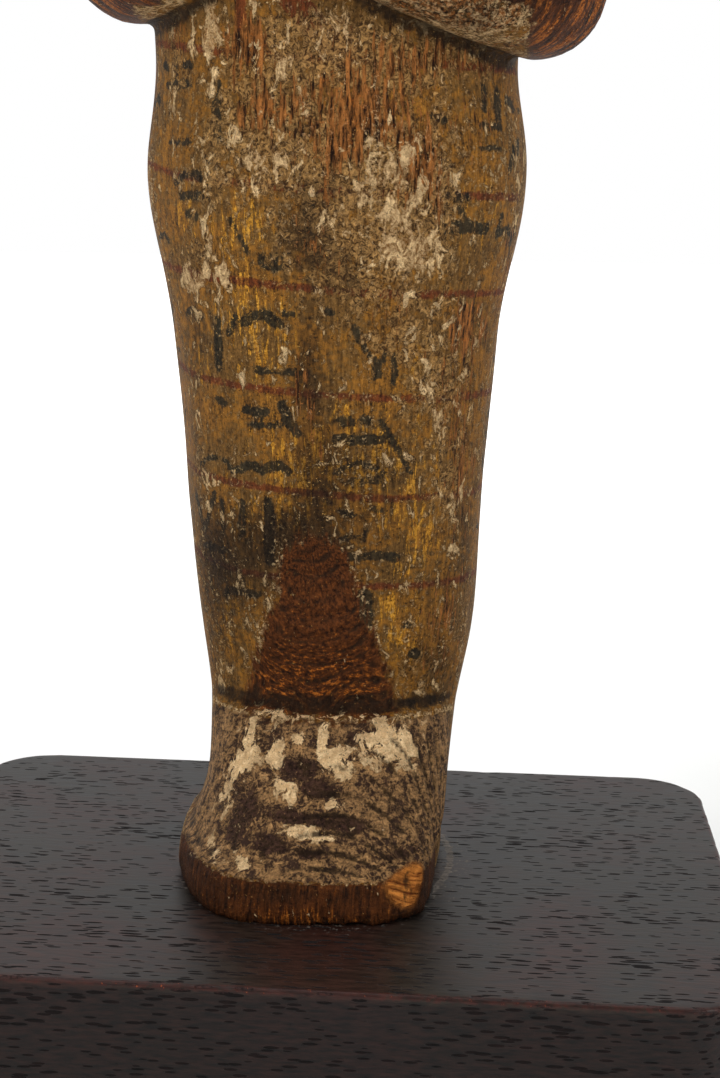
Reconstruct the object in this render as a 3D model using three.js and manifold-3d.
// A painted wooden ushabti, a mummy-shaped funerary figurine with crossed arms and a tripartite wig,
// carved in one piece and standing on a modern block plinth of dark stained timber.
// Millimetres, +Z up. The origin is the middle of the plinth's underside; the figure faces -Y.
import * as THREE from "three";
import { mergeVertices } from "three/addons/utils/BufferGeometryUtils.js";
import Module from "manifold-3d";

// ---------------------------------------------------------------- driving dimensions
const PLINTH = { width: 120, depth: 89, height: 28, corner: 10.7, arris: 0.6, cornerSteps: 12 };

const HEIGHT = 200; // figure, sole to crown
const HIP = 26.75; // half the width of the hips, the widest part of the wrapped body
const SIDE_PLANE = 5.5; // depth at which the body is widest; the front is rounder than the back

// Heights above the sole that the carving is laid out from.
const AT = {
  toeEdge: 5.6,
  instep: 22.6,
  ledge: 24.6,
  ankle: 25.6,
  calf: 0.19 * HEIGHT,
  knee: 0.3 * HEIGHT,
  thigh: 0.39 * HEIGHT,
  hip: 0.505 * HEIGHT,
  waist: 0.575 * HEIGHT,
  chest: 0.66 * HEIGHT,
  breast: 0.73 * HEIGHT,
  shoulder: 0.77 * HEIGHT,
  collar: 0.795 * HEIGHT,
  neck: 0.81 * HEIGHT,
};

// The wrapped body, one station for each change in its outline: height, half width, sideways shift of
// the middle, how far the front and the back stand, and how boxy each is (2 is an ellipse). toe is
// how much squarer the front is on the figure's left, where the toes end in the corner that has split.
const BODY = [
  { at: 0, half: 18.9, shift: -1.5, front: -24.6, back: 20.4, boxyFront: 2.1, boxyBack: 3, toe: 4.6 },
  { at: 1.6, half: 19.2, shift: -1.5, front: -25.1, back: 20.8, boxyFront: 2.15, boxyBack: 3, toe: 4.6 },
  { at: AT.toeEdge, half: 19, shift: -1.3, front: -24.7, back: 20.6, boxyFront: 2.15, boxyBack: 3, toe: 4 },
  { at: 7.2, half: 18.5, shift: -0.4, front: -22.5, back: 20.5, boxyFront: 2.2, boxyBack: 2.9, toe: 3 },
  { at: 14.5, half: 17.7, shift: 0.9, front: -15.8, back: 20.2, boxyFront: 2.45, boxyBack: 2.8, toe: 0.8 },
  { at: AT.instep, half: 18.15, shift: 1.3, front: -10.6, back: 20.0, boxyFront: 2.45, boxyBack: 2.8 },
  { at: AT.ledge, half: 18.3, shift: 1.35, front: -8.8, back: 20.0, boxyFront: 2.4, boxyBack: 2.8 },
  { at: AT.ankle, half: 18.45, shift: 1.4, front: -6.6, back: 19.9, boxyFront: 2.3, boxyBack: 2.7 },
  { at: AT.calf, half: 0.752 * HIP, shift: 1.7, front: -9.2, back: 19.4, boxyFront: 2.2, boxyBack: 2.7 },
  { at: AT.knee, half: 0.814 * HIP, shift: 1.25, front: -11.8, back: 18.7, boxyFront: 2.15, boxyBack: 2.6 },
  { at: AT.thigh, half: 0.873 * HIP, shift: 0.95, front: -13.0, back: 19.3, boxyFront: 2.1, boxyBack: 2.5 },
  { at: AT.hip, half: HIP, shift: 0.9, front: -14.8, back: 21.0, boxyFront: 2.1, boxyBack: 2.4 },
  { at: AT.waist, half: 0.947 * HIP, shift: 0.55, front: -13.6, back: 19.6, boxyFront: 2.15, boxyBack: 2.4 },
  { at: AT.chest, half: 0.965 * HIP, shift: 0.5, front: -13.4, back: 18.6, boxyFront: 2.2, boxyBack: 2.5 },
  { at: AT.breast, half: 1.12 * HIP, shift: 0.5, front: -13.0, back: 18.4, boxyFront: 2.2, boxyBack: 2.5 },
  { at: AT.shoulder, half: 1.14 * HIP, shift: 0.5, front: -10.8, back: 17.4, boxyFront: 2.1, boxyBack: 2.3 },
  { at: AT.collar, half: 0.98 * HIP, shift: 0.5, front: -7.6, back: 15.8, boxyFront: 2.1, boxyBack: 2.2 },
  { at: AT.neck, half: 0.6 * HIP, shift: 0.5, front: -4.0, back: 13.0, boxyFront: 2.0, boxyBack: 2.0 },
];
const FOOT_TURN = 0.03; // the toes swing this far sideways for each millimetre forward
const FOOT_TOP = AT.ledge; // the turn fades out here

// The wig, as a loft of the same kind: back lock, nape, cheeks, ears, brow and crown.
const WIG = [
  { at: 146, half: 14.0, shift: 0.5, front: 8.0, back: 20.4, boxyFront: 2.4, boxyBack: 2.9 },
  { at: 148, half: 14.6, shift: 0.5, front: 6.0, back: 21.0, boxyFront: 2.4, boxyBack: 2.9 },
  { at: 158, half: 17.6, shift: 0.5, front: 0.0, back: 21.6, boxyFront: 2.4, boxyBack: 2.6 },
  { at: 168, half: 20.4, shift: 0.5, front: -6.5, back: 21.2, boxyFront: 2.4, boxyBack: 2.4 },
  { at: 178, half: 21.4, shift: 0.5, front: -11.4, back: 20.6, boxyFront: 2.4, boxyBack: 2.3 },
  { at: 186, half: 20.0, shift: 0.5, front: -13.8, back: 18.8, boxyFront: 2.2, boxyBack: 2.2 },
  { at: 192.5, half: 15.8, shift: 0.5, front: -11.6, back: 15.6, boxyFront: 2.1, boxyBack: 2.1 },
  { at: 197.4, half: 9.8, shift: 0.5, front: -6.8, back: 11.0, boxyFront: 2.0, boxyBack: 2.0 },
  { at: HEIGHT, half: 2.0, shift: 0.5, front: 0.5, back: 4.5, boxyFront: 2.0, boxyBack: 2.0 },
];

// Limbs: the points that each one's middle line passes, with its radius there.
const NEAR_ARM = {
  // the figure's left arm, whose forearm lies in front and lower
  upper: [
    [22.0, 5.0, 153.5, 6.6],
    [27.6, 5.2, 148.5, 8.4],
    [30.4, 4.2, 137.4, 9.2],
    [30.2, 1.6, 125.2, 10.4],
  ],
  fore: [
    [30.2, 1.6, 125.0, 10.3],
    [24.5, -8.6, 124.7, 8.8],
    [11.5, -15.4, 127.6, 7.3],
    [-1.0, -17.8, 132.8, 6.3],
    [-9.0, -17.2, 137.6, 5.6],
  ],
  elbow: { middle: [29.4, 1.6, 126.4], size: [7.8, 10.2, 9.6] },
  fist: { at: [-12.4, -16.8, 140.0], lean: 28 },
};
const FAR_ARM = {
  // the figure's right arm, whose forearm lies behind and higher
  upper: [
    [-21.0, 5.0, 153.5, 6.6],
    [-26.4, 5.2, 149.0, 8.4],
    [-29.0, 4.2, 140.0, 9.3],
    [-28.2, 1.6, 129.4, 10.8],
  ],
  fore: [
    [-28.2, 1.6, 129.2, 10.6],
    [-21.5, -8.2, 129.5, 9.0],
    [-10.0, -13.6, 133.8, 7.1],
    [2.0, -15.0, 139.2, 6.2],
    [9.4, -15.2, 143.0, 5.6],
  ],
  elbow: { middle: [-27.6, 1.6, 130.6], size: [8.0, 10.4, 9.8] },
  fist: { at: [13.0, -15.2, 145.6], lean: -28 },
};
const SLIVER = 0.05; // facets thinner than this, left where two forms meet, are merged away
const LIMB_DOME = 0.6; // how much of a limb's domed end the first step along it covers
const FIST = { length: 9.2, height: 9.6, thickness: 8.4, fingers: 4, fingerRadius: 1.45 };

const FACE = { middle: [0.5, -8.0, 175.6], half: 12.2, deep: 9.2, tall: 14.0 };
const LAPPET = {
  wide: 5.7,
  thick: 6.5,
  boxy: 2.8,
  line: [
    [14.5, 2.0, 184],
    [16.4, -3.4, 172],
    [15.2, -7.2, 160],
    [12.4, -10.2, 149],
  ],
};
const EAR = { middle: [13.4, -10.6, 176.4], size: [1.9, 1.5, 4.2] };
const NOSE = { root: [0.5, -16.2, 180.6, 1.2], tip: [0.5, -17.6, 173.8, 2.0] };
const MOUTH = { middle: [0.5, -16.2, 169.3], size: [3.6, 1.3, 0.95], gap: 0.8 };
const EYE = { middle: [5.1, -15.3, 177.8], size: [3.1, 1.1, 1.2] };
const BROW = { middle: [5.2, -15.1, 181.0], size: [4.0, 1.1, 0.6] };
const CHIN = { middle: [0.5, -13.2, 164.6], size: [4.6, 3.2, 2.8] };

// The corner of the foot that has broken away: a point on the break and the way the break faces.
const BREAK = { point: [13.8, -21.2, 3.6], facing: [0.66, -0.66, 0.36], size: 24 };

// How finely each form is faceted: how many steps around it and along it, or the height of a step.
const FACETS = {
  body: { around: 36, step: 6 },
  wig: { around: 28, step: 4.4, crownStep: 2.6 },
  limb: { around: 14, along: 11 },
  lappet: { around: 16, along: 8 },
  nose: { around: 8, along: 4 },
  palm: { around: 12, along: 8 },
  elbow: { around: 16, along: 10 },
  feature: { around: 10, along: 6 },
  face: { around: 20, along: 12 },
};

// ---------------------------------------------------------------- finishes
const FINISH = {
  paintedWood: new THREE.MeshStandardMaterial({ color: 0x6e5230, roughness: 0.72, metalness: 0 }),
  stainedTimber: new THREE.MeshStandardMaterial({ color: 0x2b2320, roughness: 0.42, metalness: 0 }),
};

// ---------------------------------------------------------------- tools
const wasm = await Module();
wasm.setup();

/** Six times the volume that a mesh encloses, negative where its faces point inwards. */
function signedVolume(position, index) {
  const [a, b, c] = [new THREE.Vector3(), new THREE.Vector3(), new THREE.Vector3()];
  let sum = 0;
  for (let i = 0; i < index.length; i += 3) {
    a.fromBufferAttribute(position, index[i]);
    b.fromBufferAttribute(position, index[i + 1]);
    c.fromBufferAttribute(position, index[i + 2]);
    sum += a.dot(b.cross(c));
  }
  return sum;
}

/** A closed geometry as a manifold solid with its faces outwards. */
function solid(geometry) {
  const bare = geometry.clone();
  bare.deleteAttribute("normal");
  bare.deleteAttribute("uv");
  const merged = mergeVertices(bare, 1e-4);
  const position = merged.attributes.position;
  const triVerts = new Uint32Array(merged.index.array);
  if (signedVolume(position, triVerts) < 0) triVerts.reverse();
  return new wasm.Manifold(new wasm.Mesh({ numProp: 3, vertProperties: position.array, triVerts }));
}

/** A manifold solid as a flat-shaded geometry. */
function geometryOf(manifold) {
  const mesh = manifold.getMesh();
  const geometry = new THREE.BufferGeometry();
  geometry.setAttribute("position", new THREE.BufferAttribute(mesh.vertProperties, 3));
  geometry.setIndex(new THREE.BufferAttribute(mesh.triVerts, 1));
  geometry.computeVertexNormals();
  return geometry;
}

/** Joins solids into one. */
const joined = (parts) => parts.reduce((whole, part) => whole.add(part));

/** The value of one field of a station table at a height, on a smooth curve through the stations. */
function along(stations, field, at) {
  const last = stations.length - 1;
  const value = (station) => station[field] ?? 0;
  let i = stations.findIndex((s) => s.at >= at);
  i = Math.min(last - 1, Math.max(0, i - 1));
  const [a, b] = [stations[i], stations[i + 1]];
  const [before, after] = [stations[Math.max(0, i - 1)], stations[Math.min(last, i + 2)]];
  const run = b.at - a.at;
  const step = (value(b) - value(a)) / run;
  const stepBefore = i > 0 ? (value(a) - value(before)) / (a.at - before.at) : step;
  const stepAfter = i < last - 1 ? (value(after) - value(b)) / (after.at - b.at) : step;
  // Harmonic slopes keep the curve from swinging past a station.
  const slope = (p, q) => (p * q > 0 ? (2 * p * q) / (p + q) : 0);
  const t = THREE.MathUtils.clamp((at - a.at) / run, 0, 1);
  const h = (t0, t1, t2, t3) => t0 + t * (t1 + t * (t2 + t * t3));
  return (
    value(a) * h(1, 0, -3, 2) +
    value(b) * h(0, 0, 3, -2) +
    run * slope(stepBefore, step) * h(0, 1, -2, 1) +
    run * slope(step, stepAfter) * h(0, 0, -1, 1)
  );
}

/** Moves a unit cylinder's vertices to place(angle, share of the radius, share of the length). */
function shapedCylinder(around, steps, place) {
  const geometry = new THREE.CylinderGeometry(1, 1, 1, around, steps);
  const p = geometry.attributes.position;
  for (let i = 0; i < p.count; i++) {
    const [x, y, z] = [p.getX(i), p.getY(i), p.getZ(i)];
    const point = place(Math.atan2(z, x), Math.hypot(x, z) > 0.5 ? 1 : 0, y + 0.5);
    p.setXYZ(i, point.x, point.y, point.z);
  }
  return geometry;
}

const rounded = (value, power) => Math.sign(value) * Math.abs(value) ** (2 / power);

const SECTION_FIELDS = ["half", "shift", "front", "back", "boxyFront", "boxyBack", "toe"];

/** A loft through stations: at each height a section that is squarer or rounder in front and behind. */
function lofted(stations, around, rows, turn = 0, turnTop = 0) {
  return shapedCylinder(around, rows.length - 1, (angle, radius, share) => {
    const z = rows[Math.round(share * (rows.length - 1))];
    const s = Object.fromEntries(SECTION_FIELDS.map((field) => [field, along(stations, field, z)]));
    const side = Math.max(SIDE_PLANE, s.front + 0.35 * (s.back - s.front));
    const [c, d] = [Math.cos(angle), Math.sin(angle)];
    const power = d < 0 ? s.boxyFront + s.toe * (0.5 + 0.5 * c) ** 2 : s.boxyBack;
    const reach = d < 0 ? side - s.front : s.back - side;
    const y = side + radius * reach * rounded(d, power);
    const swing = z < turnTop ? turn * Math.min(0, y - side) * (1 - z / turnTop) : 0;
    return new THREE.Vector3(s.shift + radius * s.half * rounded(c, power) + swing, y, z);
  });
}

/** The heights of a loft's rows: even steps, with more rows inside each of the given bands. */
function rowsFor(low, high, step, bands = []) {
  const rows = [low];
  while (rows[rows.length - 1] < high - 1e-6) {
    const z = rows[rows.length - 1];
    const band = bands.find((b) => z >= b.from - 1e-6 && z < b.to - 1e-6);
    rows.push(Math.min(high, z + (band ? band.step : step)));
  }
  if (high - rows[rows.length - 2] < step * 0.4) rows.splice(rows.length - 2, 1);
  return rows;
}

/** A limb: a round section carried along a smooth line through points with radii, with domed ends. */
function limb(points, { around, along: steps } = FACETS.limb) {
  const line = new THREE.CatmullRomCurve3(points.map((p) => new THREE.Vector3(p[0], p[1], p[2])));
  const radii = points.map((p, i) => ({ at: i / (points.length - 1), r: p[3] }));
  const frames = line.computeFrenetFrames(steps);
  return shapedCylinder(around, steps, (angle, radius, share) => {
    const i = Math.round(share * steps);
    const toEnd = Math.min(1, Math.min(share, 1 - share) * steps * LIMB_DOME);
    const r = radius * along(radii, "r", share) * Math.sqrt(Math.max(0.2, toEnd * (2 - toEnd)));
    return line
      .getPointAt(share)
      .addScaledVector(frames.normals[i], r * Math.cos(angle))
      .addScaledVector(frames.binormals[i], r * Math.sin(angle));
  });
}

/** An ellipsoid. */
function bead(middle, size, facets = FACETS.feature) {
  const geometry = new THREE.SphereGeometry(1, facets.around, facets.along);
  geometry.rotateX(Math.PI / 2);
  geometry.scale(...size);
  geometry.translate(...middle);
  return geometry;
}

/** The same point on the figure's other side. */
const mirrored = ([x, y, z, ...rest]) => [1 - x, y, z, ...rest];

// ---------------------------------------------------------------- the figure's forms
/** The wrapped body with the feet, one loft from the sole to the neck. */
function wrappedBody() {
  const bands = [
    { from: 0, to: 1.6, step: 1.6 },
    { from: 1.6, to: 9.6, step: 2 },
    { from: 21.6, to: 27.6, step: 1 },
    { from: 151, to: AT.neck, step: 2.2 },
  ];
  const rows = rowsFor(0, AT.neck, FACETS.body.step, bands);
  return solid(lofted(BODY, FACETS.body.around, rows, FOOT_TURN, FOOT_TOP));
}

/** A closed hand: a rounded palm with its fingers folded across the front. */
function fist({ at, lean }) {
  const palm = bead([0, 0, 0], [FIST.length / 2, FIST.thickness / 2, FIST.height / 2], FACETS.palm);
  const parts = [solid(palm)];
  const pitch = (FIST.height - 1.6) / FIST.fingers;
  for (let i = 0; i < FIST.fingers; i++) {
    const z = (i - (FIST.fingers - 1) / 2) * pitch;
    const size = [FIST.length / 2 - 0.6, FIST.fingerRadius, pitch * 0.52];
    parts.push(solid(bead([0, 0.6 - FIST.thickness / 2, z], size)));
  }
  return joined(parts).rotate([0, -lean, 0]).translate(at);
}

/** One arm: upper arm, bent elbow, forearm across the chest and fist. */
function arm({ upper, fore, elbow, fist: hand }) {
  const bend = bead(elbow.middle, elbow.size, FACETS.elbow);
  return joined([solid(limb(upper)), solid(limb(fore)), solid(bend), fist(hand)]);
}

/** A lock of the wig that hangs in front of one shoulder, cut straight at its end. */
function lappet(flip) {
  const points = LAPPET.line.map((p) => (flip ? mirrored(p) : p));
  const line = new THREE.CatmullRomCurve3(points.map((p) => new THREE.Vector3(...p)));
  const { around, along: steps } = FACETS.lappet;
  const strip = shapedCylinder(around, steps, (angle, radius, share) => {
    const p = line.getPoint(share);
    p.x += radius * LAPPET.wide * rounded(Math.cos(angle), LAPPET.boxy);
    p.y += radius * LAPPET.thick * rounded(Math.sin(angle), LAPPET.boxy);
    return p;
  });
  return solid(strip);
}

/** The face: a calm oval with brows, almond eyes, nose, lips, chin and ears. */
function face() {
  const pairs = [EYE, BROW, EAR].flatMap((form) => [
    bead(form.middle, form.size),
    bead(mirrored(form.middle), form.size),
  ]);
  const lips = [0.5, -0.5].map((s) =>
    bead([MOUTH.middle[0], MOUTH.middle[1], MOUTH.middle[2] + s * MOUTH.gap], MOUTH.size),
  );
  const oval = bead(FACE.middle, [FACE.half, FACE.deep, FACE.tall], FACETS.face);
  const chin = bead(CHIN.middle, CHIN.size);
  const nose = limb([NOSE.root, NOSE.tip], FACETS.nose);
  return joined([oval, chin, nose, ...lips, ...pairs].map(solid));
}

/** The wig's cap and nape with its two lappets. */
function wig() {
  const { around, step, crownStep } = FACETS.wig;
  const rows = rowsFor(WIG[0].at, HEIGHT, step, [{ from: 190, to: HEIGHT, step: crownStep }]);
  return joined([solid(lofted(WIG, around, rows)), lappet(false), lappet(true)]);
}

/** What the broken toe corner has lost: a block beyond the plane of the break. */
function lostCorner() {
  const { point, facing, size } = BREAK;
  const normal = new THREE.Vector3(...facing).normalize();
  const block = new THREE.BoxGeometry(size, size, size);
  block.applyQuaternion(new THREE.Quaternion().setFromUnitVectors(new THREE.Vector3(0, 0, 1), normal));
  const middle = new THREE.Vector3(...point).addScaledVector(normal, size / 2);
  block.translate(middle.x, middle.y, middle.z);
  return solid(block);
}

/** The whole carving, one solid, standing on z = 0 of its own group. */
function carving() {
  const whole = joined([wrappedBody(), arm(NEAR_ARM), arm(FAR_ARM), wig(), face()]);
  return geometryOf(whole.subtract(lostCorner()).simplify(SLIVER));
}

/** The plinth: a block with round upright corners and a slightly eased top and bottom arris. */
function plinthBlock() {
  const { width, depth, height, corner, arris, cornerSteps } = PLINTH;
  const [w, d] = [width / 2 - arris, depth / 2 - arris];
  const r = corner - arris;
  const outline = new THREE.Shape();
  outline.moveTo(-w + r, -d);
  outline.lineTo(w - r, -d);
  outline.absarc(w - r, -d + r, r, -Math.PI / 2, 0);
  outline.lineTo(w, d - r);
  outline.absarc(w - r, d - r, r, 0, Math.PI / 2);
  outline.lineTo(-w + r, d);
  outline.absarc(-w + r, d - r, r, Math.PI / 2, Math.PI);
  outline.lineTo(-w, -d + r);
  outline.absarc(-w + r, -d + r, r, Math.PI, 1.5 * Math.PI);
  const block = new THREE.ExtrudeGeometry(outline, {
    depth: height - 2 * arris,
    curveSegments: cornerSteps,
    bevelEnabled: true,
    bevelThickness: arris,
    bevelSize: arris,
    bevelSegments: 1,
  });
  block.translate(0, 0, arris);
  return geometryOf(solid(block));
}

// ---------------------------------------------------------------- assembly
const plinth = new THREE.Mesh(plinthBlock(), FINISH.stainedTimber);
plinth.name = "plinth";

const figure = new THREE.Mesh(carving(), FINISH.paintedWood);
figure.name = "figure";
const standing = new THREE.Group();
standing.position.z = PLINTH.height;
standing.add(figure);

const ushabti = new THREE.Group();
ushabti.add(plinth, standing);

export default ushabti;
